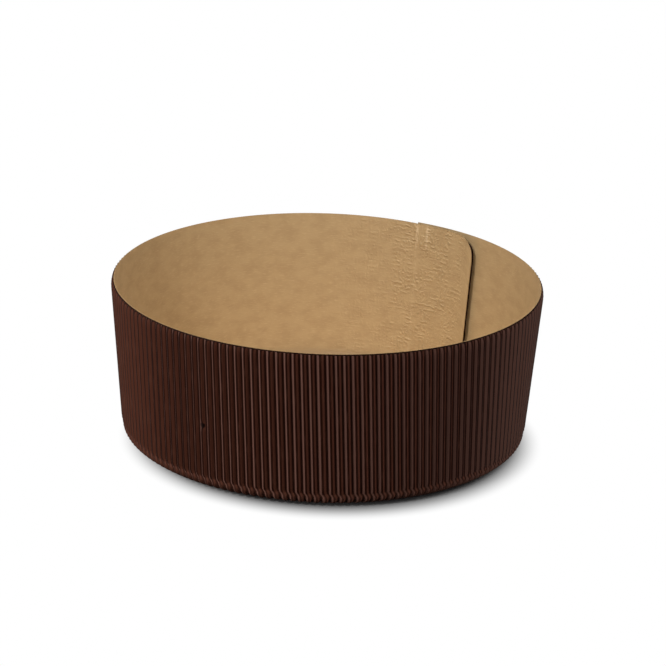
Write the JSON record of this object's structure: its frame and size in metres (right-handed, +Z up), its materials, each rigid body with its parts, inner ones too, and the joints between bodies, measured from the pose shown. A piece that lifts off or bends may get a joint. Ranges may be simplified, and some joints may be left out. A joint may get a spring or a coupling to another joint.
{
  "type": "round fluted paper baking mould",
  "caption": "Round, low baking mould of single-faced fluted board, with a lapped wall, a crimped turned-in foot and a base disc laid on it.",
  "frame": {"origin": "on the mould's axis, at the surface it stands on", "axes": "+Z up along the axis, -Y towards the front, with the lap of the wall at the back, to the right"},
  "size_m": [0.18, 0.1795, 0.067],
  "materials": {
    "kraft_liner": "smooth natural kraft paper, lightly calendered",
    "brown_fluting": "fluted kraft paper printed dark brown, satin",
    "base_kraft": "smooth natural kraft paper, lightly calendered",
    "base_brown": "fluted kraft paper printed dark brown, satin"
  },
  "bodies": {
    "root": {"wall_liner": "kraft_liner", "wall_fluting": "brown_fluting", "base_liner": "base_kraft", "base_fluting": "base_brown"}
  },
  "joints": []
}
